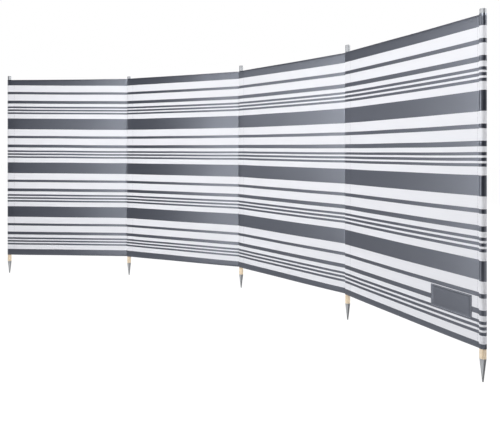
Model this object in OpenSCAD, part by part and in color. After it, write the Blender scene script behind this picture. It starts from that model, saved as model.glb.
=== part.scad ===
// Beach windbreak: a striped cloth in four bays, carried by five spiked wooden poles.
// Millimetres, +Z up. The origin is the blunt point of the middle pole's spike.
// +X runs along the row from the first pole to the last, and the sheltered side faces -Y.

/* [Row] */
// Distance between the centres of neighbouring poles
bay_w = 915; // [700:5:1200]
// Turn of the row at the second pole, in degrees
turn_angle_2 = 20; // [0:0.5:35]
// Turn of the row at the third pole, in degrees
turn_angle_3 = 25.5; // [0:0.5:35]
// Turn of the row at the fourth pole, in degrees
turn_angle_4 = 15.5; // [0:0.5:35]

/* [Poles] */
// Diameter of the wooden pole
pole_d = 26; // [20:1:36]
// Chamfer round the top edge of the wood
pole_chamfer = 1.5; // [0.5:0.1:3]
// Bare wood between the spikes and the lower hem
foot_wood = 48; // [20:1:100]
// How far the last pole is pushed up through its sleeve
end_rise = 14; // [0:1:40]

/* [Caps] */
// How far the first pole's cap stands above the upper hem
cap_rise_1 = 31; // [5:1:60]
// How far the second pole's cap stands above the upper hem
cap_rise_2 = 18; // [5:1:60]
// How far the third pole's cap stands above the upper hem
cap_rise_3 = 38; // [5:1:60]
// How far the fourth pole's cap stands above the upper hem
cap_rise_4 = 40; // [5:1:60]
// How far the fifth pole's cap stands above the upper hem
cap_rise_5 = 20; // [5:1:60]
// Thickness of the pressed steel
cap_wall = 1; // [0.6:0.1:2]
// Depth of the cap over the wood
cap_depth = 44; // [20:1:70]
// Radius of the cap's top edge
cap_edge_r = 2.5; // [1:0.1:4]
// Clearance between the wood and the cap
cap_clear = 0.3; // [0.2:0.05:0.6]

/* [Ground spikes] */
// Length of the steel spike below the wood
spike_len = 92; // [60:1:130]
// Thickness of the rolled steel
spike_wall = 1.2; // [0.8:0.1:2]
// Diameter of the blunt point
spike_tip_d = 5; // [3:0.5:8]
// Length of the solid point below the wood's tapered end
spike_point_len = 22; // [12:1:40]
// Width of the open seam where the rolled edges meet
spike_seam_w = 1; // [0.5:0.1:2]
// Clearance between the wood's tapered end and the spike
spike_clear = 0.3; // [0.2:0.05:0.6]

/* [Cloth] */
// Thickness of the cloth
cloth_t = 1.2; // [0.6:0.1:2]
// Height of the cloth from hem to hem
cloth_h = 1305; // [900:5:1500]
// How far each bay bellies out behind its seams
billow = 4; // [4:1:40]
// Height of the folded hems
hem_h = 22; // [12:1:40]
// Thickness of the folded hems
hem_t = 2.4; // [1.6:0.1:4]

/* [Pole sleeves] */
// Clearance between the wood and the sleeve round it
sleeve_clear = 0.5; // [0.3:0.1:1.5]
// How far a sleeve's flat faces lie inside its round side
sleeve_tuck = 0.15; // [0.1:0.05:0.3]
// Length of a sleeve's flat tail, from its round side to the seam that closes it
sleeve_tail = 23; // [8:1:50]
// Length of the last sleeve's tail
end_tail = 9; // [4:1:30]
// How far the last sleeve stops short of the lower hem
end_lift = 5; // [0:1:40]
// Length of the seam allowance that joins a bay to the next sleeve
seam_tab = 10; // [5:1:20]
// Gap between the sewn edges
seam_gap = 0.2; // [0.1:0.05:0.5]

/* [Label patch] */
// Width of the patch
patch_w = 227; // [100:1:300]
// Height of the patch
patch_h = 95; // [60:5:200]
// Thickness of the patch
patch_t = 0.8; // [0.4:0.1:1.5]
// Distance from the patch to the last seam
patch_side_gap = 20; // [15:1:80]
// Height of the patch above the lower hem's edge
patch_foot = 104; // [40:1:200]
// Clearance between the patch and the cloth
patch_clear = 0.3; // [0.2:0.05:0.5]

/* [Hidden] */
// Facets of a full circle, and of the shallow arc across a bay
$fn = 96;
arc_facets = 24;
// Overrun of cutting shapes past the faces they open
overrun = 1;

wood_colour = "#dfc59c";
steel_colour = "#b9bdc2";
cloth_colour = "#d5d8de";
patch_colour = "#8d929d";

pole_r = pole_d / 2;
tip_r = spike_tip_d / 2;

// Heights of the cloth's lower edge, of each spike's point and of the top of each pole's wood
cloth_foot = spike_len + foot_wood;
cap_rises = [cap_rise_1, cap_rise_2, cap_rise_3, cap_rise_4, cap_rise_5];
wood_tops = [for (rise = cap_rises) cloth_foot + cloth_h + rise - cap_wall];
function point_z(i) = i == poles - 1 ? end_rise : 0;

// Radii inside the caps and of the wood that is turned down to fit them
cap_in = pole_r - cap_wall;
head_r = cap_in - cap_clear;

// Plan of the row: headings of the bays, turned so that the ends lie along X
turn_angles = [0, turn_angle_2, turn_angle_3, turn_angle_4];
bays = len(turn_angles);
poles = bays + 1;
middle = (poles - 1) / 2;
function turned(k) = k < 0 ? 0 : turn_angles[k] + turned(k - 1);
function heading_sum(v, k = 0) = k == len(v) ? 0 : v[k] + heading_sum(v, k + 1);
bent = [for (k = [0 : bays - 1]) -turned(k)];
row_angle = atan2(heading_sum([for (h = bent) sin(h)]), heading_sum([for (h = bent) cos(h)]));
headings = [for (h = bent) h - row_angle];
function walked(i) = i == 0 ? [0, 0] : walked(i - 1) + bay_w * [cos(headings[i - 1]), sin(headings[i - 1])];
pole_places = [for (i = [0 : poles - 1]) walked(i) - walked(middle)];

// Inside and outside radii of a sleeve's round side, and where its tail's seam lies
sleeve_in = pole_r + sleeve_clear;
sleeve_out = sleeve_in + cloth_t;
sleeve_seam = sleeve_out + sleeve_tail;
end_seam = sleeve_out + end_tail;

// Distances of a sleeve's flat faces from the pole's axis, and of the middle of its cloth
flat_in = sleeve_in - sleeve_tuck;
flat_out = sleeve_out - sleeve_tuck;
cloth_line = (flat_in + flat_out) / 2;

// A bay's cloth leaves the front of its own sleeve and ends at the middle of the next one
bay_lean = asin(cloth_line / bay_w);
bay_run = sqrt(pow(bay_w, 2) - pow(cloth_line, 2));
cloth_start = sleeve_seam + seam_gap;
function cloth_end(k) = bay_run - (k == bays - 1 ? end_seam : sleeve_out) - seam_tab - seam_gap;
function cloth_run(k) = cloth_end(k) - cloth_start;
function arc_r(k) = pow(cloth_run(k), 2) / billow / 8 + billow / 2;
function half_arc(k) = asin(cloth_run(k) / 2 / arc_r(k));
function arc_degrees(length, k) = length / arc_r(k) * 180 / PI;

module at_pole(i) {
    translate(pole_places[i]) children();
}

// Frame of a bay: origin on its first pole, X along the cloth's chord, sheltered side at -Y
module in_bay(k) {
    at_pole(k) rotate(headings[k] + bay_lean) children();
}

// Outer radius of the spike at a height above its point
function spike_r(z) = tip_r + (pole_r - tip_r) * z / spike_len;

// Round pole whose tapered foot and turned head carry the spike and the cap flush with the wood
module pole(i) {
    spigot_z = spike_point_len + spike_clear;
    spigot_gap = spike_wall + spike_clear;
    head_z = wood_tops[i] - cap_depth;
    color(wood_colour) at_pole(i) rotate_extrude() polygon([
        [0, point_z(i) + spigot_z],
        [spike_r(spigot_z) - spigot_gap, point_z(i) + spigot_z],
        [pole_r - spigot_gap, point_z(i) + spike_len],
        [pole_r, point_z(i) + spike_len],
        [pole_r, head_z],
        [head_r, head_z],
        [head_r, wood_tops[i] - pole_chamfer],
        [head_r - pole_chamfer, wood_tops[i]],
        [0, wood_tops[i]]
    ]);
}

// Pressed steel cup with a rounded top edge
module pole_cap(i) {
    cap_h = cap_depth + cap_wall;
    color(steel_colour) at_pole(i) translate([0, 0, wood_tops[i] - cap_depth]) rotate_extrude() difference() {
        union() {
            square([pole_r - cap_edge_r, cap_h]);
            square([pole_r, cap_h - cap_edge_r]);
            translate([pole_r - cap_edge_r, cap_h - cap_edge_r]) circle(r = cap_edge_r);
        }
        translate([0, -overrun]) square([cap_in, cap_depth + overrun]);
    }
}

// Cone rolled from sheet, with a solid point and an open seam down its back
module ground_spike(i) {
    color(steel_colour) at_pole(i) translate([0, 0, point_z(i)]) difference() {
        rotate_extrude() polygon([
            [0, 0],
            [tip_r, 0],
            [pole_r, spike_len],
            [pole_r - spike_wall, spike_len],
            [spike_r(spike_point_len) - spike_wall, spike_point_len],
            [0, spike_point_len]
        ]);
        translate([-spike_seam_w / 2, 0, spike_point_len])
            cube([spike_seam_w, pole_r + overrun, spike_len - spike_point_len + overrun]);
    }
}

// Section round a pole: the front runs straight on to the seam, and the back closes on to it
module bay_sleeve_section() {
    back_angle = acos(flat_out / norm([sleeve_seam, flat_in])) - atan(flat_in / sleeve_seam);
    back = [cos(back_angle), sin(back_angle)];
    inner_tip = [flat_in * (1 + back.y) / back.x, -flat_in];
    difference() {
        union() {
            circle(r = sleeve_out);
            polygon([
                [0, 0], [0, -flat_out], [sleeve_seam, -flat_out],
                [sleeve_seam, -flat_in], flat_out * back
            ]);
        }
        circle(r = sleeve_in);
        polygon([[0, 0], [0, -flat_in], inner_tip, flat_in * back]);
    }
}

// Section round the last pole: both sides close evenly on to the tab that its bay is sewn to
module end_sleeve_section() {
    half_t = cloth_t / 2;
    touch_angle = 180 - atan(half_t / end_seam) - acos(flat_out / norm([end_seam, half_t]));
    upper = [cos(touch_angle), sin(touch_angle)];
    lower = [upper.x, -upper.y];
    tab_end = end_seam + seam_tab;
    difference() {
        union() {
            circle(r = sleeve_out);
            polygon([
                [0, 0], flat_out * upper, [-end_seam, half_t], [-tab_end, half_t],
                [-tab_end, -half_t], [-end_seam, -half_t], flat_out * lower
            ]);
        }
        circle(r = sleeve_in);
        polygon([[0, 0], flat_in * upper, [flat_in / upper.x, 0], flat_in * lower]);
    }
}

// Allowance on the round side of a sleeve, for the bay that ends there
module seam_tab_section() {
    translate([-sleeve_out - seam_tab, -cloth_t / 2]) square([seam_tab + cloth_t / 2, cloth_t]);
}

// Sleeve of cloth round a pole, as tall as the bays but for the lift of the last one
module pole_sleeve(i) {
    last = i == poles - 1;
    own_angle = last ? 0 : headings[i] + bay_lean;
    joined_angle = i == 0 ? 0 : headings[i - 1] + bay_lean;
    lift = last ? end_lift : 0;
    color(cloth_colour) at_pole(i) translate([0, 0, cloth_foot + lift]) linear_extrude(cloth_h - lift) {
        if (last) rotate(joined_angle) end_sleeve_section();
        else rotate(own_angle) bay_sleeve_section();
        if (i > 0 && !last) rotate(joined_angle) seam_tab_section();
    }
}

// Places a profile, drawn at its radius, on the arc across a bay
module on_arc(k, from_end, sweep, profile_z) {
    in_bay(k)
        translate([(cloth_start + cloth_end(k)) / 2, billow - cloth_line - arc_r(k), profile_z])
        rotate(90 - half_arc(k) + from_end)
        rotate_extrude(angle = sweep, $fn = ceil(arc_facets * 360 / sweep)) children();
}

// One bay: taut cloth with a folded hem on the back of its upper and lower edges
module bay_cloth(k) {
    front_r = arc_r(k) - cloth_t / 2;
    color(cloth_colour) on_arc(k, 0, 2 * half_arc(k), cloth_foot) union() {
        translate([front_r, 0]) square([cloth_t, cloth_h]);
        for (z = [0, cloth_h - hem_h]) translate([front_r, z]) square([hem_t, hem_h]);
    }
}

// Rectangular patch sewn on the sheltered face, low down beside the last pole
module label_patch() {
    k = bays - 1;
    front_r = arc_r(k) - cloth_t / 2 - patch_clear;
    color(patch_colour)
        on_arc(k, arc_degrees(patch_side_gap, k), arc_degrees(patch_w, k), cloth_foot + patch_foot)
        translate([front_r - patch_t, 0]) square([patch_t, patch_h]);
}

for (i = [0 : poles - 1]) {
    pole(i);
    pole_cap(i);
    ground_spike(i);
    pole_sleeve(i);
}
for (k = [0 : bays - 1]) {
    bay_cloth(k);
}
label_patch();
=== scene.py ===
"""Beach windbreak: sews its striped cloth round the poles, finishes wood and steel, and sets the studio."""

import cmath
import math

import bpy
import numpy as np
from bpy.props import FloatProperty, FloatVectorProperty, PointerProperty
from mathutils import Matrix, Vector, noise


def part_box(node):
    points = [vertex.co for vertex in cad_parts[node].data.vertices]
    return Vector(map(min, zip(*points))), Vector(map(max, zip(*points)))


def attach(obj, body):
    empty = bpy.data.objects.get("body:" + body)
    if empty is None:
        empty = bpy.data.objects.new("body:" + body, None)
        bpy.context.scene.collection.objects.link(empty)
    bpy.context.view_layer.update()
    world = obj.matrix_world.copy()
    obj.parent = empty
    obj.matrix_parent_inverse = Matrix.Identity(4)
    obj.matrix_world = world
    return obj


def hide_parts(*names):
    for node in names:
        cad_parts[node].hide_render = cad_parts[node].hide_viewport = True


bl_info = {
    "name": "Beach windbreak",
    "version": (1, 0, 0),
    "blender": (4, 5, 0),
    "location": "View3D > Sidebar > Windbreak",
    "description": "Sews the striped cloth and its patch, finishes the poles and sets the studio",
    "category": "Object",
}

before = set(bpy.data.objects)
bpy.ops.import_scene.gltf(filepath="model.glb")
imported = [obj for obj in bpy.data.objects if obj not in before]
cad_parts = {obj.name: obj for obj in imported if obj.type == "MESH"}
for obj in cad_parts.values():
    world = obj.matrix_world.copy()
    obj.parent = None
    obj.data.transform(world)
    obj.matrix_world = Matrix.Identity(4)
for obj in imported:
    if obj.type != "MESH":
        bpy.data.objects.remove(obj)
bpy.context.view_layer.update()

BODY = "root"
BAYS = sum(name.startswith("bay_cloth_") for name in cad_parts)
POLES = BAYS + 1
UV_NAME = "cloth"
MM = 0.001
UP = Vector((0, 0, 1))


def linear(hex_colour):
    """Linear RGBA of an sRGB hex colour."""
    channels = [int(hex_colour[i : i + 2], 16) / 255 for i in (1, 3, 5)]
    return [c / 12.92 if c <= 0.04045 else ((c + 0.055) / 1.055) ** 2.4 for c in channels] + [1.0]


# Sizes and colours


def length(name, description, default):
    """A length that a user may change, in metres."""
    return FloatProperty(name=name, description=description, default=default, unit="LENGTH", precision=5)


def pole_lengths(name, description, default):
    """A length for each pole that a user may change, in metres."""
    return FloatVectorProperty(
        name=name, description=description, default=default, size=len(default), unit="LENGTH", precision=5
    )


def colour(name, description, hex_colour):
    """A colour that a user may change."""
    return FloatVectorProperty(
        name=name, description=description, default=linear(hex_colour), size=4, subtype="COLOR", min=0, max=1
    )


def position(name, description, default):
    """A place in the studio that a user may change, in metres."""
    return FloatVectorProperty(name=name, description=description, default=default, subtype="TRANSLATION")


def wattage(name, description, default):
    """A lamp's power that a user may change, in watts."""
    return FloatProperty(name=name, description=description, default=default, unit="POWER")


class WindbreakCloth(bpy.types.PropertyGroup):
    """Sizes and colours of the sewn cloth."""

    thickness: length("Thickness", "Thickness of one layer of cloth", 0.6 * MM)
    layer_gap: length("Layer gap", "Air between two layers that are sewn together", 0.1 * MM)
    sleeve_ease: length("Sleeve ease", "From the wood to the middle of the cloth round it", 0.95 * MM)
    seam_reach: length("Seam reach", "From a pole's axis to the seam that closes its sleeve", 37.7 * MM)
    end_reach: length("End seam reach", "From the last pole's axis to the seam of its sleeve", 17.7 * MM)
    allowance: length("Seam allowance", "Cloth sewn down beside a seam", 10 * MM)
    billow: length("Billow", "How far a bay bellies out to its windward side", 4 * MM)
    droop: length("Droop", "How far the last bay's lower hem hangs down between its poles", 4 * MM)
    hem: length("Hem", "Height of the folded hems", 22 * MM)
    repeat: length("Stripe repeat", "Height of one repeat of the stripes", 327.6 * MM)
    lift: pole_lengths(
        "Lift",
        "How far the stripes are pulled up at each pole",
        (10.5 * MM, 5 * MM, 2 * MM, -3.5 * MM, -3 * MM),
    )
    spread: pole_lengths(
        "Spread",
        "How far the stripes are drawn apart at each pole, at its hems",
        (0, -5 * MM, 0, 0, 7 * MM),
    )
    ease: FloatProperty(
        name="Lower ease",
        description="Share by which the lowest repeat holds more cloth than it is tall",
        default=0.03,
        subtype="FACTOR",
    )
    slate: colour("Slate", "Colour of the dark yarn", "#181c28")
    white: colour("White", "Colour of the pale yarn", "#e3e3e6")


class WindbreakStitching(bpy.types.PropertyGroup):
    """Sizes and colours of the sewing thread."""

    stitch: length("Stitch", "Length of a stitch that shows", 3.4 * MM)
    pitch: length("Pitch", "Distance from one stitch to the next", 4.6 * MM)
    thread: length("Thread", "Thickness of the thread", 0.7 * MM)
    inset: length("Inset", "From an edge to the stitches along it", 3 * MM)
    slate: colour("Slate thread", "Colour of the thread in the seams and hems", "#5a5f6b")
    pale: colour("Pale thread", "Colour of the thread round the patch", "#c9ccd4")


class WindbreakPatch(bpy.types.PropertyGroup):
    """Sizes and colour of the bare patch."""

    thickness: length("Thickness", "Thickness of the patch", 0.7 * MM)
    turn_in: length("Turned edge", "Width of the edge that is turned under", 8 * MM)
    turn_lift: length("Edge lift", "How far the turned edge stands above the middle", 0.5 * MM)
    slate: colour("Slate", "Colour of the patch", "#181c28")


class WindbreakPoles(bpy.types.PropertyGroup):
    """Colours of the wood and steel."""

    wood_pale: colour("Pale wood", "Colour of the early wood", "#efdfc8")
    wood_dark: colour("Dark wood", "Colour of the grain lines", "#dcc3a0")
    zinc: colour("Zinc", "Colour of the plated caps", "#b8babd")
    steel: colour("Steel", "Colour of the rolled spikes", "#bcbec1")


class WindbreakStudio(bpy.types.PropertyGroup):
    """Camera and lights."""

    eye: position("Camera", "Place of the camera", (2.2248, -2.9268, 0.9083))
    heading: FloatProperty(
        name="Heading", description="Turn of the level camera", default=math.radians(36.322), subtype="ANGLE"
    )
    lens: FloatProperty(
        name="Lens", description="Focal length on a 36 mm sensor", default=39.65, subtype="DISTANCE_CAMERA"
    )
    rise: FloatProperty(name="Rise", description="Vertical shift of the view", default=-0.1283)
    ambient: FloatProperty(name="Ambient", description="Strength of the even light all round", default=0.32)
    key_place: position("Key light", "Middle of the tall soft light inside the curve", (-0.28, -1.61, 1.1))
    key_size: FloatVectorProperty(
        name="Key size",
        description="Width and height of the key light",
        default=(0.62, 2.1),
        size=2,
        unit="LENGTH",
    )
    key_power: wattage("Key power", "Power of the key light", 54)
    front_place: position("Front light", "Middle of the light above the camera", (1.45, -2.5, 2.7))
    front_power: wattage("Front power", "Power of the front light", 45)
    far_place: position("Far light", "Middle of the far light on the left", (-7.5, -6.9, 2))
    far_power: wattage("Far power", "Power of the far light", 101)
    end_place: position("End light", "Middle of the far light on the last bay", (-9, -3, 2.3))
    end_power: wattage("End power", "Power of the light on the last bay", 24)
    side_place: position("Side light", "Middle of the weak light on the left", (-0.75, -3.3, 1.1))
    side_power: wattage("Side power", "Power of the weak light", 6)
    high_place: position("High light", "Middle of the high light on the right", (4, 0.6, 3))
    high_power: wattage("High power", "Power of the high light", 81)
    back_place: position("Back light", "Middle of the light behind the windbreak", (-1, 6, 3.2))
    back_power: wattage("Back power", "Power of the back light", 250)


# Nodes, pieces and modifiers


def add_node(tree, kind, sockets=None, **settings):
    """Adds a node. A socket is given a plain value, or the output that it is linked from."""
    node = tree.nodes.new(kind)
    for name, value in settings.items():
        setattr(node, name, value)
    for key, value in (sockets or {}).items():
        if isinstance(value, bpy.types.NodeSocket):
            tree.links.new(value, node.inputs[key])
        else:
            node.inputs[key].default_value = value
    return node


def new_material(name):
    """An empty node material and its tree."""
    material = bpy.data.materials.new(name)
    material.use_nodes = True
    material.node_tree.nodes.clear()
    return material, material.node_tree


def new_piece(name, places, faces, material):
    """A mesh piece at the origin, selected and active."""
    mesh = bpy.data.meshes.new(name)
    mesh.from_pydata(places, [], faces)
    mesh.materials.append(material)
    piece = bpy.data.objects.new(name, mesh)
    bpy.context.scene.collection.objects.link(piece)
    bpy.ops.object.select_all(action="DESELECT")
    piece.select_set(True)
    bpy.context.view_layer.objects.active = piece
    return piece


# Materials

# Most of what a noise texture gives lies between these
NOISE_LOW, NOISE_HIGH = 0.3, 0.7
# The dark yarn is a smoother filament than the white one
DARK_ROUGHNESS, PALE_ROUGHNESS = 0.355, 0.85


def wave_scale(spacing):
    """Scale at which the bands of a wave texture lie a spacing apart."""
    return math.pi / 10 / spacing


def woven_cloth(name, dye):
    """Plain woven polyester: a dense, smooth weave with a soft sheen where the light glances off it, and
    faint streaks along the weft from uneven yarn. dye gives the yarn's colour and roughness in the tree."""
    material, tree = new_material(name)
    metres = add_node(tree, "ShaderNodeUVMap", uv_map=UV_NAME).outputs[0]
    yarn, roughness = dye(tree, metres)
    # Yarn spacing is about 0.4 mm and too fine to show, so the ribs are drawn 2.5 mm apart
    ribs = {"Vector": metres, "Scale": wave_scale(2.5 * MM)}
    weft = add_node(tree, "ShaderNodeTexWave", ribs, bands_direction="Y").outputs["Fac"]
    warp = add_node(tree, "ShaderNodeTexWave", ribs, bands_direction="X").outputs["Fac"]
    weave = add_node(tree, "ShaderNodeMath", {0: weft, 1: warp}, operation="MULTIPLY").outputs[0]
    streak_length, streak_width = 80 * MM, 1.6 * MM
    drawn = add_node(
        tree, "ShaderNodeMapping", {"Vector": metres, "Scale": (1 / streak_length, 1 / streak_width, 1)}
    ).outputs[0]
    streaks = add_node(
        tree, "ShaderNodeTexNoise", {"Vector": drawn, "Scale": 1.0, "Detail": 3, "Roughness": 0.6}
    ).outputs["Fac"]
    tone = add_node(
        tree,
        "ShaderNodeMapRange",
        {"Value": streaks, "From Min": NOISE_LOW, "From Max": NOISE_HIGH, "To Min": 0.955, "To Max": 1.0},
    ).outputs[0]
    shaded = add_node(
        tree, "ShaderNodeMix", {"Factor": 1.0, 6: yarn, 7: tone}, data_type="RGBA", blend_type="MULTIPLY"
    ).outputs[2]
    relief = add_node(tree, "ShaderNodeMath", {0: weave, 1: streaks}, operation="ADD").outputs[0]
    bump = add_node(
        tree, "ShaderNodeBump", {"Height": relief, "Strength": 0.25, "Distance": 0.12 * MM}
    ).outputs[0]
    shader = add_node(
        tree,
        "ShaderNodeBsdfPrincipled",
        {
            "Base Color": shaded,
            "Roughness": roughness,
            "Specular IOR Level": 1.0,
            "Specular Tint": linear("#ebf1ff"),
            "IOR": 1.85,
            "Normal": bump,
        },
    )
    add_node(tree, "ShaderNodeOutputMaterial", {"Surface": shader.outputs[0]})
    return material


# Widths of one repeat of stripes from the top of its wide band, dark and pale in turn, as shares of it
STRIPE_SHARES = (0.244, 0.150, 0.052, 0.145, 0.067, 0.066, 0.039, 0.028, 0.039, 0.028, 0.039, 0.103)
# How much of the upper hem's wide band is turned to the back, as a share of the repeat
UPPER_CUT_SHARE = 0.092


def striped_polyester(cloth):
    """Yarn-dyed stripes run right through the cloth, so they show alike on both faces."""
    foot, head = cloth_heights()
    top_share = cloth_length(cloth, head - foot) / cloth.repeat + UPPER_CUT_SHARE

    def stripes(tree, metres):
        height = add_node(tree, "ShaderNodeSeparateXYZ", {0: metres}).outputs["Y"]
        down = add_node(
            tree, "ShaderNodeMath", {0: height, 1: -1 / cloth.repeat, 2: top_share}, operation="MULTIPLY_ADD"
        ).outputs[0]
        share = add_node(tree, "ShaderNodeMath", {0: down}, operation="FRACT").outputs[0]
        bands = add_node(tree, "ShaderNodeValToRGB", {"Fac": share})
        bands.color_ramp.interpolation = "CONSTANT"
        bands.color_ramp.elements.remove(bands.color_ramp.elements[1])
        bands.color_ramp.elements[0].color = cloth.slate
        edge = 0
        for number, width in enumerate(STRIPE_SHARES[:-1]):
            edge += width
            bands.color_ramp.elements.new(edge).color = cloth.slate if number % 2 else cloth.white
        pale = add_node(tree, "ShaderNodeRGBToBW", {0: bands.outputs["Color"]}).outputs[0]
        dull = add_node(
            tree, "ShaderNodeMapRange", {"Value": pale, "To Min": DARK_ROUGHNESS, "To Max": PALE_ROUGHNESS}
        ).outputs[0]
        return bands.outputs["Color"], dull

    return woven_cloth("striped_polyester_weave", stripes)


def slate_patch_cloth(patch):
    """The patch is the same weave in slate yarn only."""
    return woven_cloth("slate_patch_weave", lambda tree, metres: (patch.slate, DARK_ROUGHNESS))


def spun_thread(name, thread_colour):
    """Polyester sewing thread with a slight gloss: two twisted plies, whose fine slanting ribs show as bands
    of painted shade in the grooves.
    """
    material, tree = new_material(name)
    place = add_node(tree, "ShaderNodeTexCoord").outputs["Object"]
    ply = 0.5 * MM
    painted_ply_shade = add_node(
        tree, "ShaderNodeTexWave", {"Vector": place, "Scale": wave_scale(ply)}, bands_direction="DIAGONAL"
    ).outputs["Fac"]
    # The grooves between the plies are darkened in colour: painted shade, since the thread has no bump
    tone = add_node(tree, "ShaderNodeMapRange", {"Value": painted_ply_shade, "To Min": 0.8, "To Max": 1.0}).outputs[0]
    shaded = add_node(
        tree,
        "ShaderNodeMix",
        {"Factor": 1.0, 6: thread_colour, 7: tone},
        data_type="RGBA",
        blend_type="MULTIPLY",
    ).outputs[2]
    shader = add_node(tree, "ShaderNodeBsdfPrincipled", {"Base Color": shaded, "Roughness": 0.55})
    add_node(tree, "ShaderNodeOutputMaterial", {"Surface": shader.outputs[0]})
    return material


def sanded_softwood(poles):
    """Turned and sanded softwood: pale early wood with darker grain lines along the pole, and no varnish."""
    material, tree = new_material("sanded_softwood")
    place = add_node(tree, "ShaderNodeTexCoord").outputs["Object"]
    grain_width, grain_length = 2.4 * MM, 90 * MM
    drawn = add_node(
        tree,
        "ShaderNodeMapping",
        {"Vector": place, "Scale": (1 / grain_width, 1 / grain_width, 1 / grain_length)},
    ).outputs[0]
    grain = add_node(
        tree, "ShaderNodeTexNoise", {"Vector": drawn, "Scale": 1.0, "Detail": 4, "Distortion": 0.6}
    ).outputs["Fac"]
    tint = add_node(tree, "ShaderNodeValToRGB", {"Fac": grain})
    dark, pale = tint.color_ramp.elements
    dark.position, dark.color = 0.35, poles.wood_dark
    pale.position, pale.color = 0.62, poles.wood_pale
    dull = add_node(tree, "ShaderNodeMapRange", {"Value": grain, "To Min": 0.7, "To Max": 0.5}).outputs[0]
    bump = add_node(
        tree, "ShaderNodeBump", {"Height": grain, "Strength": 0.3, "Distance": 0.2 * MM}
    ).outputs[0]
    shader = add_node(
        tree,
        "ShaderNodeBsdfPrincipled",
        {"Base Color": tint.outputs[0], "Roughness": dull, "Specular IOR Level": 0.3, "Normal": bump},
    )
    add_node(tree, "ShaderNodeOutputMaterial", {"Surface": shader.outputs[0]})
    return material


def plated_steel(name, base, roughness):
    """Plated steel: a grey metal with a satin finish, fine drawing lines round it and a little dulling."""
    material, tree = new_material(name)
    place = add_node(tree, "ShaderNodeTexCoord").outputs["Object"]
    line_width, line_length, blotch_size = 0.5 * MM, 25 * MM, 9 * MM
    drawn = add_node(
        tree,
        "ShaderNodeMapping",
        {"Vector": place, "Scale": (1 / line_length, 1 / line_length, 1 / line_width)},
    ).outputs[0]
    lines = add_node(tree, "ShaderNodeTexNoise", {"Vector": drawn, "Scale": 1.0, "Detail": 3}).outputs["Fac"]
    blotch = add_node(
        tree, "ShaderNodeTexNoise", {"Vector": place, "Scale": 1 / blotch_size, "Detail": 2}
    ).outputs["Fac"]
    spread = {"From Min": NOISE_LOW, "From Max": NOISE_HIGH}
    tone = add_node(
        tree, "ShaderNodeMapRange", {"Value": blotch, **spread, "To Min": 0.88, "To Max": 1.0}
    ).outputs[0]
    shaded = add_node(
        tree, "ShaderNodeMix", {"Factor": 1.0, 6: base, 7: tone}, data_type="RGBA", blend_type="MULTIPLY"
    ).outputs[2]
    smoother, rougher = roughness - 0.06, roughness + 0.08
    dull = add_node(
        tree, "ShaderNodeMapRange", {"Value": lines, **spread, "To Min": smoother, "To Max": rougher}
    ).outputs[0]
    bump = add_node(
        tree, "ShaderNodeBump", {"Height": lines, "Strength": 0.2, "Distance": 0.05 * MM}
    ).outputs[0]
    shader = add_node(
        tree,
        "ShaderNodeBsdfPrincipled",
        {"Base Color": shaded, "Metallic": 1.0, "Roughness": dull, "Normal": bump},
    )
    add_node(tree, "ShaderNodeOutputMaterial", {"Surface": shader.outputs[0]})
    return material


# Plan of the cloth, as complex numbers in metres: real along +X, imaginary along +Y


def pole_axis(number):
    """Plan place of a pole."""
    low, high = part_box(f"pole_{number}")
    return complex((low.x + high.x) / 2, (low.y + high.y) / 2)


def cloth_heights():
    """Heights of the cloth's lower and upper edges."""
    low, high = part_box("bay_cloth_1")
    return low.z, high.z


def cloth_length(cloth, height):
    """Length of the cloth from its lower edge up to a height above it, with the lowest repeat eased in."""
    return height + cloth.ease * min(height, cloth.repeat)


def stripe_shift(cloth, number):
    """How far the stripes lie above their true height at a pole, and how far they are drawn apart there."""
    return cloth.lift[number - 1], cloth.spread[number - 1]


class BayPlan:
    """Frame of one bay on its first pole: X along its cloth, and the sheltered side at -Y."""

    def __init__(self, number, cloth):
        low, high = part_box(f"pole_{number}")
        first, second = pole_axis(number), pole_axis(number + 1)
        span = abs(second - first)
        self.round = (high.x - low.x) / 2 + cloth.sleeve_ease
        self.origin = first
        self.along = (second - first) / span * cmath.exp(1j * math.asin(self.round / span))
        self.next_axis = complex(math.sqrt(span**2 - self.round**2), -self.round)

    def place(self, points):
        """Plan points of the frame in the row's own frame."""
        return self.origin + self.along * np.array(points)


def straight(start, end, steps):
    """Plan points along a line, without its last one."""
    return [start + (end - start) * n / steps for n in range(steps)]


def bend(centre, radius, start, sweep, steps):
    """Plan points round a centre, without the last one. Angles are in radians, counter-clockwise."""
    return [centre + cmath.rect(radius, start + sweep * n / steps) for n in range(steps)]


def touch_angle(point, radius, turn):
    """Angle at which a line from a point touches a circle round the origin, on its left or right side."""
    return cmath.phase(point) + turn * math.acos(radius / abs(point))


# Sheets

# Rows of the mesh between the two hems, and across each turned hem
CLOTH_ROWS, HEM_ROWS = 108, 3
# Edges sharper than this stay crisp
CLOTH_CREASE, THREAD_CREASE = math.radians(35), math.radians(50)


def woven_piece(name, places, lengths, columns, thickness, material):
    """A closed sheet through rows of places, with its cloth lengths in metres as its UV map."""
    faces = [
        (corner, corner + 1, corner + columns + 1, corner + columns)
        for corner in range(len(places) - columns)
        if (corner + 1) % columns
    ]
    piece = new_piece(name, places, faces, material)
    mesh = piece.data
    corners = np.zeros(len(mesh.loops), int)
    mesh.loops.foreach_get("vertex_index", corners)
    mesh.uv_layers.new(name=UV_NAME).data.foreach_set("uv", np.array(lengths)[corners].ravel())
    solidify = piece.modifiers.new("Solidify", "SOLIDIFY")
    solidify.thickness, solidify.offset = thickness, 0.0
    bpy.ops.object.modifier_apply(modifier=solidify.name)
    bpy.ops.object.shade_smooth_by_angle(angle=CLOTH_CREASE)
    return piece


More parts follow.
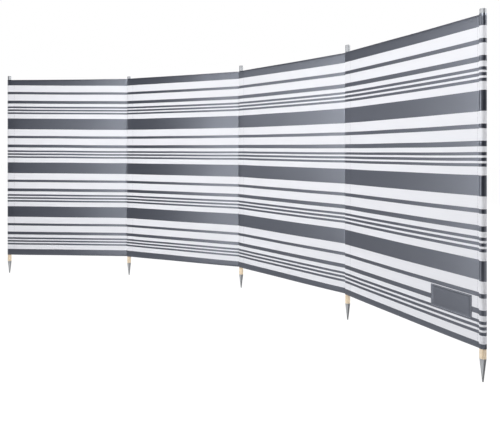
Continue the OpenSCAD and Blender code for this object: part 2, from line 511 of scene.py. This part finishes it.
class SewnSheet:
    """Cloth that follows a plan path, with its outer face to the right of it, hemmed below and above."""

    def __init__(self, path, foot, head):
        self.path = np.array(path)
        self.foot, self.head = foot, head
        self.runs = np.concatenate([[0], np.cumsum(np.abs(np.diff(self.path)))])
        tangent = np.gradient(self.path, self.runs)
        self.outward = -1j * tangent / np.abs(tangent)
        # Where the stretched part begins and ends, on a bay
        self.taut = None
        self.droop = 0.0
        self.drawn = (0.0, 0.0), (0.0, 0.0)

    def from_seam(self, run):
        """Distance from the nearer seam in the stretched part, and 0 outside it."""
        return max(0.0, min(run - self.taut[0], self.taut[1] - run)) if self.taut else 0.0

    def relief(self, run, height):
        """Unevenness of tight cloth: broad waves, and puckers that fade away from the stitched edges."""
        from_seam = self.from_seam(run)
        if not from_seam:
            return 0.0
        wave_depth, wave_width, wave_height = 0.7 * MM, 260 * MM, 400 * MM
        hem_depth, hem_width, hem_fade = 0.25 * MM, 18 * MM, 20 * MM
        seam_depth, seam_height, seam_fade = 0.2 * MM, 20 * MM, 16 * MM
        pucker_length, wave_hold, pucker_hold = 300 * MM, 60 * MM, 20 * MM
        seed = self.path[0].real
        from_hem = max(0.0, min(height - self.foot, self.head - height))
        waves = wave_depth * noise.noise(Vector((run / wave_width, height / wave_height, seed)))
        along_hem = noise.noise(Vector((run / hem_width, seed, height / pucker_length)))
        waves += hem_depth * along_hem * math.exp(-from_hem / hem_fade)
        along_seam = noise.noise(Vector((seed, height / seam_height, run / pucker_length)))
        puckers = seam_depth * along_seam * math.exp(-from_seam / seam_fade)
        return waves * min(1.0, from_seam / wave_hold) + puckers * min(1.0, from_seam / pucker_hold)

    def sag(self, run, height):
        """How far the weave hangs below its true height, between two seams."""
        from_seam = self.from_seam(run)
        if not from_seam:
            return 0.0
        wave_depth, wave_width, wave_height, wave_hold = 1.2 * MM, 350 * MM, 220 * MM, 100 * MM
        wave = wave_depth * noise.noise(Vector((run / wave_width, height / wave_height, self.path[0].imag)))
        share = (run - self.taut[0]) / (self.taut[1] - self.taut[0])
        low = (self.head - height) / (self.head - self.foot)
        return wave * min(1.0, from_seam / wave_hold) + 4 * self.droop * low * share * (1 - share)

    def drawn_up(self, run, height):
        """How far the stripes lie above their true height, from the two ends of the bay."""
        lift, spread = (np.interp(run, self.taut or (0, 1), ends) for ends in zip(*self.drawn))
        return lift + spread * (2 * (height - self.foot) / (self.head - self.foot) - 1)

    def point(self, run, height, lift):
        """Place at a lift from the middle of the cloth, and the direction in which the cloth faces."""
        plan = np.interp(run, self.runs, self.path)
        outward = np.interp(run, self.runs, self.outward)
        outward /= abs(outward)
        plan += outward * (lift + self.relief(run, height))
        place = Vector((plan.real, plan.imag, height - self.sag(run, height)))
        return place, Vector((outward.real, outward.imag, 0))

    def rows(self, cloth):
        """Height, cloth length and depth behind the front layer of each row, from hem edge to hem edge."""
        fold = (cloth.thickness + cloth.layer_gap) / 2
        low_foot, _ = cloth_heights()
        turns = [math.pi * share for share in (0.25, 0.5, 0.75)]
        rows = []
        for height in np.linspace(cloth.hem, fold, HEM_ROWS):
            rows.append((self.foot + height, self.foot - height, 2 * fold))
        for turn in reversed(turns):
            rows.append((self.foot + fold * (1 - math.sin(turn)), self.foot, fold * (1 - math.cos(turn))))
        for height in np.linspace(self.foot + fold, self.head - fold, CLOTH_ROWS):
            rows.append((height, height, 0.0))
        for turn in turns:
            rows.append((self.head - fold * (1 - math.sin(turn)), self.head, fold * (1 - math.cos(turn))))
        for height in np.linspace(fold, cloth.hem, HEM_ROWS):
            rows.append((self.head - height, self.head + height, 2 * fold))
        return [(height, cloth_length(cloth, on_cloth - low_foot), depth) for height, on_cloth, depth in rows]

    def make(self, name, cloth, material):
        """The sheet as a closed mesh piece."""
        places, lengths = [], []
        for height, on_cloth, depth in self.rows(cloth):
            for run in self.runs:
                places.append(self.point(run, height, -depth)[0])
                lengths.append((run, on_cloth - self.drawn_up(run, height)))
        return woven_piece(name, places, lengths, len(self.runs), cloth.thickness, material)

    def flat_size(self, cloth):
        """Width and length that the sheet was cut to."""
        return self.runs[-1], cloth_length(cloth, self.head - self.foot) + 2 * cloth.hem


def bay_sheet(number, cloth):
    """A bay with the sleeve of its first pole: round the pole from the seam, and on to the next sleeve."""
    bay = BayPlan(number, cloth)
    foot, head = cloth_heights()
    last = number == BAYS
    layer = cloth.thickness + cloth.layer_gap
    seam = complex(cloth.seam_reach, -bay.round)
    back_seam = seam + 1j * layer
    touch = touch_angle(back_seam, bay.round, 1)
    reach = bay.round + layer
    end = bay.next_axis - (cloth.end_reach if last else reach)
    belly_end = end - cloth.allowance
    belly_steps = 76
    path = straight(back_seam + cloth.allowance, back_seam, steps=3)
    path += straight(back_seam, cmath.rect(bay.round, touch), steps=6)
    path += bend(0, bay.round, touch, 1.5 * math.pi - touch, steps=28)
    path += straight(-1j * bay.round, seam, steps=4)
    front_seam = len(path)
    for n in range(belly_steps):
        share = n / belly_steps
        path.append(seam + (belly_end - seam) * share + 4j * cloth.billow * share * (1 - share))
    belly_stop = len(path)
    path += straight(belly_end, end, steps=2)
    if last:
        path.append(end)
    else:
        # The allowance lies round the next sleeve, from a little past where the bay meets it
        meet, turn = math.pi - 0.15, cloth.allowance / reach
        path += bend(bay.next_axis, reach, meet, -turn, steps=6)
        path.append(bay.next_axis + cmath.rect(reach, meet - turn))
    sheet = SewnSheet(bay.place(path), foot, head)
    sheet.taut = sheet.runs[front_seam], sheet.runs[belly_stop]
    sheet.droop = cloth.droop * number / BAYS
    sheet.drawn = stripe_shift(cloth, number), stripe_shift(cloth, number + 1)
    return sheet


def end_sleeve_sheet(cloth):
    """The last pole's sleeve: round the pole from its tab and back to it."""
    bay = BayPlan(BAYS, cloth)
    foot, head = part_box(f"pole_sleeve_{POLES}")[0].z, cloth_heights()[1]
    back = complex(-cloth.end_reach, cloth.thickness + cloth.layer_gap)
    touch = touch_angle(back, bay.round, -1)
    half = straight(cmath.rect(bay.round, touch), back, steps=4)
    half += straight(back, back - cloth.allowance, steps=2)
    half.append(back - cloth.allowance)
    path = [point.conjugate() for point in reversed(half)]
    path += bend(0, bay.round, -touch, 2 * touch, steps=32)[1:] + half
    sheet = SewnSheet(bay.place(np.array(path) + bay.next_axis), foot, head)
    sheet.drawn = 2 * (stripe_shift(cloth, POLES),)
    return sheet


# Stitches


def model_stitch(stitching):
    """One stitch along X at the origin: a short plump thread with tapered ends."""
    taper, tip_share = stitching.stitch / 4, 0.4
    bpy.ops.object.select_all(action="DESELECT")
    bpy.ops.mesh.primitive_cylinder_add(
        vertices=6, radius=stitching.thread / 2, depth=stitching.stitch - 2 * taper, end_fill_type="NGON"
    )
    stitch = bpy.context.object
    bpy.ops.object.mode_set(mode="EDIT")
    bpy.ops.mesh.select_all(action="DESELECT")
    bpy.ops.object.mode_set(mode="OBJECT")
    for face in stitch.data.polygons:
        face.select = abs(face.normal.z) > 0.9
    bpy.ops.object.mode_set(mode="EDIT")
    bpy.ops.mesh.extrude_faces_move(TRANSFORM_OT_shrink_fatten={"value": taper})
    bpy.ops.transform.resize(value=(tip_share, tip_share, 1))
    bpy.ops.mesh.select_all(action="SELECT")
    bpy.ops.transform.rotate(value=math.pi / 2, orient_axis="Y", center_override=(0, 0, 0))
    bpy.ops.object.mode_set(mode="OBJECT")
    return stitch


def sew(name, stitch, rows, material):
    """Copies of a stitch, joined as one piece, along rows of places with their directions and faces."""
    points = np.array([v.co for v in stitch.data.vertices])
    sides = [list(face.vertices) for face in stitch.data.polygons]
    places, faces = [], []
    for number, (place, along, outward) in enumerate(rows):
        turn = np.array([along, outward.cross(along), outward])
        first = number * len(points)
        places.append(points @ turn + np.array(place))
        faces += [[corner + first for corner in side] for side in sides]
    piece = new_piece(name, np.concatenate(places).tolist(), faces, material)
    bpy.ops.object.shade_smooth_by_angle(angle=THREAD_CREASE)
    return piece


def upright_row(sheet, run, low, high, side, lift, pitch):
    """Stitches up a seam, at a lift from the cloth's middle, that face outward (1) or inward (-1)."""
    row = []
    for n in range(int((high - low) / pitch)):
        place, outward = sheet.point(run, low + (n + 0.5) * pitch, lift)
        row.append((place, UP, outward * side))
    return row


def level_row(sheet, height, start, stop, side, lift, pitch):
    """Stitches along a hem, at a lift from the cloth's middle, that face outward (1) or inward (-1)."""
    row = []
    for n in range(int((stop - start) / pitch)):
        place, outward = sheet.point(start + (n + 0.5) * pitch, height, lift)
        row.append((place, UP.cross(outward * side).normalized(), outward * side))
    return row


# Operators


class WINDBREAK_OT_poles(bpy.types.Operator):
    """Finishes the poles, their caps and their spikes"""

    bl_idname = "windbreak.poles"
    bl_label = "Finish poles"

    def execute(self, context):
        poles = context.scene.windbreak_poles
        finishes = {
            "pole": sanded_softwood(poles),
            "pole_cap": plated_steel("zinc_plated_steel", poles.zinc, roughness=0.58),
            "ground_spike": plated_steel("rolled_bright_steel", poles.steel, roughness=0.36),
        }
        for kind, finish in finishes.items():
            for number in range(1, POLES + 1):
                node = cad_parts[f"{kind}_{number}"]
                node.data.materials.clear()
                node.data.materials.append(finish)
        return {"FINISHED"}


class WINDBREAK_OT_cloth(bpy.types.Operator):
    """Sews the four bays with their sleeves, and the last sleeve"""

    bl_idname = "windbreak.cloth"
    bl_label = "Sew cloth"

    def execute(self, context):
        scene = context.scene
        cloth, stitching = scene.windbreak_cloth, scene.windbreak_stitching
        stripes = striped_polyester(cloth)
        thread = spun_thread("slate_thread", stitching.slate)
        stitch = model_stitch(stitching)
        for number in range(1, POLES + 1):
            last = number == POLES
            sheet = end_sleeve_sheet(cloth) if last else bay_sheet(number, cloth)
            piece = sheet.make(f"sleeve_sheet_{number}" if last else f"bay_sheet_{number}", cloth, stripes)
            rows = self.hem_rows(sheet, cloth, stitching) + self.seam_rows(sheet, number, cloth, stitching)
            stitches = sew(f"seam_stitches_{number}", stitch, rows, thread)
            nodes = [f"pole_sleeve_{number}"] + ([] if last else [f"bay_cloth_{number}"])
            for made in (piece, stitches):
                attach(made, BODY)
            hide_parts(*nodes)
            flat = sheet.flat_size(cloth)
        bpy.data.objects.remove(stitch)
        return {"FINISHED"}

    @staticmethod
    def hem_rows(sheet, cloth, stitching):
        """Stitches along both hems: on the front all the way, and on the back of a bay's stretched part."""
        front = cloth.thickness / 2
        back = -front - (cloth.thickness + cloth.layer_gap)
        from_edge = cloth.hem - stitching.inset
        rows = []
        for height in (sheet.foot + from_edge, sheet.head - from_edge):
            rows += level_row(sheet, height, 0, sheet.runs[-1], 1, front, stitching.pitch)
            if sheet.taut:
                rows += level_row(sheet, height, *sheet.taut, -1, back, stitching.pitch)
        return rows

    @staticmethod
    def seam_rows(sheet, number, cloth, stitching):
        """Stitches up the seams: both tabs of the last sleeve, or a bay's sleeve seam and far allowance."""
        front = cloth.thickness / 2
        far_edge = sheet.runs[-1] - stitching.inset
        if number == POLES:
            seams = (stitching.inset, 1), (far_edge, 1)
        else:
            seams = (cloth.allowance / 2, 1), (sheet.taut[0] + cloth.allowance / 2, 1)
            if number < BAYS:
                seams += ((far_edge, -1),)
        rows = []
        for run, side in seams:
            rows += upright_row(sheet, run, sheet.foot, sheet.head, side, side * front, stitching.pitch)
        return rows


class WINDBREAK_OT_patch(bpy.types.Operator):
    """Sews the bare patch on the last bay"""

    bl_idname = "windbreak.patch"
    bl_label = "Sew patch"

    def execute(self, context):
        scene = context.scene
        cloth, stitching, patch = scene.windbreak_cloth, scene.windbreak_stitching, scene.windbreak_patch
        sheet = bay_sheet(BAYS, cloth)
        low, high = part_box("label_patch")
        on_bay = sheet.runs > sheet.taut[0]
        left, right = np.interp((low.x, high.x), sheet.path.real[on_bay], sheet.runs[on_bay])
        columns, rows = self.graded(left, right, patch.turn_in), self.graded(low.z, high.z, patch.turn_in)
        seat = (cloth.thickness + patch.thickness) / 2
        slope = patch.turn_in / 4
        places, lengths = [], []
        for height in rows:
            for run in columns:
                from_edge = min(run - left, right - run, height - low.z, high.z - height)
                turned = min(1.0, max(0.0, (patch.turn_in - from_edge) / slope))
                places.append(sheet.point(run, height, seat + patch.turn_lift * turned)[0])
                lengths.append((run, height))
        piece = woven_piece(
            "patch_sheet", places, lengths, len(columns), patch.thickness, slate_patch_cloth(patch)
        )

        stitch = model_stitch(stitching)
        face = seat + patch.turn_lift + patch.thickness / 2
        inset = patch.turn_in / 2
        seam_left, seam_right = left + inset, right - inset
        seam_low, seam_high = low.z + inset, high.z - inset
        stitches = []
        for height in (seam_low, seam_high):
            stitches += level_row(sheet, height, seam_left, seam_right, 1, face, stitching.pitch)
        for run in (seam_left, seam_right):
            stitches += upright_row(sheet, run, seam_low, seam_high, 1, face, stitching.pitch)
        border = sew("patch_stitches", stitch, stitches, spun_thread("pale_thread", stitching.pale))
        bpy.data.objects.remove(stitch)
        for made in (piece, border):
            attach(made, BODY)
        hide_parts("label_patch")
        return {"FINISHED"}

    @staticmethod
    def graded(start, stop, edge):
        """Steps across the patch: fine over its turned edges, and wider between them."""
        fine_steps, wide_steps = 5, 20
        fine = np.linspace(0, edge, fine_steps)
        wide = np.linspace(start + edge, stop - edge, wide_steps)
        return np.concatenate([start + fine, wide[1:-1], stop - fine[::-1]])


# Width and height of each plain lamp in metres, and the middle of the cloth, which they point at
LAMP_SIZES = {
    "front": (1.2, 1.2),
    "far": (2, 3),
    "end": (2, 3),
    "side": (0.8, 1.6),
    "high": (1.5, 1.5),
    "back": (2, 2),
}
LAMP_AIM = Vector((0.4, 0, 0.75))
WHITE = linear("#ffffff")


class WINDBREAK_OT_studio(bpy.types.Operator):
    """Sets the floor, the lights and the camera"""

    bl_idname = "windbreak.studio"
    bl_label = "Set studio"

    def execute(self, context):
        scene = context.scene
        studio = scene.windbreak_studio
        scene.view_settings.view_transform = "Standard"
        self.make_floor()
        self.make_world(studio)
        self.make_lamps(studio)
        self.make_surroundings()
        bpy.ops.object.camera_add(location=studio.eye, rotation=(math.pi / 2, 0, studio.heading))
        camera = context.object
        camera.data.sensor_width = 36
        camera.data.lens = studio.lens
        camera.data.shift_y = studio.rise
        scene.camera = camera
        return {"FINISHED"}

    @staticmethod
    def seen_rays(tree):
        """1 for rays that show the background: from the camera, in reflections and through glass."""
        path = add_node(tree, "ShaderNodeLightPath").outputs
        either = add_node(
            tree, "ShaderNodeMath", {0: path["Is Camera Ray"], 1: path["Is Glossy Ray"]}, operation="MAXIMUM"
        ).outputs[0]
        return add_node(
            tree, "ShaderNodeMath", {0: either, 1: path["Is Transmission Ray"]}, operation="MAXIMUM"
        ).outputs[0]

    def make_floor(self):
        """A pale floor that is white to the eye."""
        bpy.ops.object.select_all(action="DESELECT")
        bpy.ops.mesh.primitive_plane_add(size=60)
        floor = bpy.context.object
        floor.name = "floor"
        material, tree = new_material("white_floor")
        seen = self.seen_rays(tree)
        matt = add_node(tree, "ShaderNodeBsdfDiffuse", {"Color": linear("#e7e7e7")}).outputs[0]
        # The glow is just short of white, and light on the faint coat makes up the rest, in the shade too
        faint = add_node(tree, "ShaderNodeBsdfDiffuse", {"Color": linear("#595959")}).outputs[0]
        glow = add_node(tree, "ShaderNodeEmission", {"Strength": 0.96}).outputs[0]
        white = add_node(tree, "ShaderNodeAddShader", {0: faint, 1: glow}).outputs[0]
        surface = add_node(tree, "ShaderNodeMixShader", {0: seen, 1: matt, 2: white}).outputs[0]
        add_node(tree, "ShaderNodeOutputMaterial", {"Surface": surface})
        floor.data.materials.append(material)

    def make_world(self, studio):
        """White to the eye, and an even grey light on the object."""
        world = bpy.data.worlds.new("studio_white")
        world.use_nodes = True
        tree = world.node_tree
        tree.nodes.clear()
        white = add_node(tree, "ShaderNodeBackground", {"Color": WHITE, "Strength": 1.0}).outputs[0]
        even = add_node(tree, "ShaderNodeBackground", {"Color": WHITE, "Strength": studio.ambient}).outputs[0]
        seen = add_node(tree, "ShaderNodeMixShader", {0: self.seen_rays(tree), 1: even, 2: white}).outputs[0]
        add_node(tree, "ShaderNodeOutputWorld", {"Surface": seen})
        bpy.context.scene.world = world

    @staticmethod
    def make_lamps(studio):
        """A tall soft light inside the curve, whose sheen brightens the bays to their right, and lamps."""
        columns, rows, bulb_radius = 3, 5, 0.16
        for column in range(columns):
            for row in range(rows):
                aside = studio.key_size[0] * (column / (columns - 1) - 0.5)
                rise = studio.key_size[1] * (row / (rows - 1) - 0.5)
                place = Vector(studio.key_place) + Vector((aside, 0, rise))
                bpy.ops.object.light_add(type="POINT", radius=bulb_radius, location=place)
                bpy.context.object.data.energy = studio.key_power / columns / rows
                bpy.context.object.visible_camera = False
        for name, size in LAMP_SIZES.items():
            place = Vector(getattr(studio, f"{name}_place"))
            bpy.ops.object.light_add(type="AREA", location=place)
            lamp = bpy.context.object
            lamp.name = f"{name}_light"
            lamp.data.shape = "RECTANGLE"
            lamp.data.size, lamp.data.size_y = size
            lamp.data.energy = getattr(studio, f"{name}_power")
            lamp.rotation_euler = (LAMP_AIM - place).to_track_quat("-Z", "Y").to_euler()
            lamp.visible_camera = False

    def make_surroundings(self):
        """Dark curtains behind the camera and on both sides, which the cloth reflects as a dark room, and
        sheets that only reflections show: a dark carpet in front, a grey glow along the front of each bay,
        which is a painted floor reflection, and a darker glow in its shade, which is a painted shadow."""
        dark, tree = new_material("dark_curtain")
        matt = add_node(tree, "ShaderNodeBsdfDiffuse", {"Color": linear("#3a3a3c")}).outputs[0]
        add_node(tree, "ShaderNodeOutputMaterial", {"Surface": matt})
        across, sideways, level = (math.pi / 2, 0, 0), (math.pi / 2, 0, math.pi / 2), (0, 0, 0)
        self.hang("front_curtain", dark, (0, -10, 5), across, (40, 10))
        self.hang("left_curtain", dark, (-12, -5, 5), sideways, (12, 10))
        self.hang("right_curtain", dark, (9, 0, 5), sideways, (18, 10))

        # Where these sheets lie on each other, the higher one shows
        dark_rise, grey_rise, shade_rise = 6 * MM, 5 * MM, 4 * MM
        self.hang("dark_carpet", dark, (-1.5, -6.2, dark_rise), level, (21, 7.6), reflected_only=True)
        # Both glows are painted light: the grey one a painted floor reflection, the darker one a painted
        # shadow behind each bay
        grey, shade = self.glowing_grey("grey_carpet", 0.5), self.glowing_grey("shaded_floor", 0.24)
        # A strip of white floor is left along the front of the cloth, and the painted shadow starts just
        # inside it
        white_strip, grey_depth, grey_past_end = 0.16, 4.0, 8.0
        shade_overlap, shade_depth, shade_width = 0.05, 0.8, 2.0
        for number in range(1, BAYS + 1):
            first, second = pole_axis(number), pole_axis(number + 1)
            along = (second - first) / abs(second - first)
            turn = (0, 0, cmath.phase(along))
            middle = (first + second) / 2 + 1j * along * (shade_depth / 2 - shade_overlap)
            place, size = (middle.real, middle.imag, shade_rise), (shade_width, shade_depth)
            # Painted shadow: a darker glow where the bay's shade falls on the floor behind it
            self.hang(f"shaded_floor_{number}", shade, place, turn, size, reflected_only=True)
            if number == 1:
                first -= along * grey_past_end
            if number == BAYS:
                second += along * grey_past_end
            middle = (first + second) / 2 - 1j * along * (white_strip + grey_depth / 2)
            place, size = (middle.real, middle.imag, grey_rise), (abs(second - first), grey_depth)
            # Painted floor reflection: a grey glow along the front of the bay
            self.hang(f"grey_carpet_{number}", grey, place, turn, size, reflected_only=True)

    @staticmethod
    def glowing_grey(name, strength):
        """A plain grey glow that no lamp changes, which is painted light."""
        material, tree = new_material(name)
        glow = add_node(tree, "ShaderNodeEmission", {"Strength": strength}).outputs[0]
        add_node(tree, "ShaderNodeOutputMaterial", {"Surface": glow})
        return material

    @staticmethod
    def hang(name, material, place, turn, size, reflected_only=False):
        """A curtain, carpet or painted glow that the camera doesn't see."""
        bpy.ops.mesh.primitive_plane_add(size=1, location=place, rotation=turn)
        plane = bpy.context.object
        plane.name = name
        plane.scale = (*size, 1)
        bpy.ops.object.transform_apply(location=True, rotation=True, scale=True)
        plane.visible_camera = False
        plane.visible_diffuse = plane.visible_shadow = not reflected_only
        plane.data.materials.append(material)


class WINDBREAK_PT_panel(bpy.types.Panel):
    """Lists the windbreak's steps and sizes"""

    bl_idname = "WINDBREAK_PT_panel"
    bl_label = "Windbreak"
    bl_space_type = "VIEW_3D"
    bl_region_type = "UI"
    bl_category = "Windbreak"

    def draw(self, context):
        for operator in OPERATORS:
            self.layout.operator(operator.bl_idname)
        for name, group in GROUPS.items():
            box = self.layout.box()
            for key in group.__annotations__:
                box.prop(getattr(context.scene, name), key)


GROUPS = {
    "windbreak_cloth": WindbreakCloth,
    "windbreak_stitching": WindbreakStitching,
    "windbreak_patch": WindbreakPatch,
    "windbreak_poles": WindbreakPoles,
    "windbreak_studio": WindbreakStudio,
}
OPERATORS = (WINDBREAK_OT_poles, WINDBREAK_OT_cloth, WINDBREAK_OT_patch, WINDBREAK_OT_studio)
CLASSES = (*GROUPS.values(), *OPERATORS, WINDBREAK_PT_panel)


def register():
    for item in CLASSES:
        bpy.utils.register_class(item)
    for name, group in GROUPS.items():
        setattr(bpy.types.Scene, name, PointerProperty(type=group))


def unregister():
    for name in GROUPS:
        delattr(bpy.types.Scene, name)
    for item in reversed(CLASSES):
        bpy.utils.unregister_class(item)


def main():
    register()
    bpy.ops.windbreak.poles()
    bpy.ops.windbreak.cloth()
    bpy.ops.windbreak.patch()
    bpy.ops.windbreak.studio()


if __name__ == "__main__":
    main()
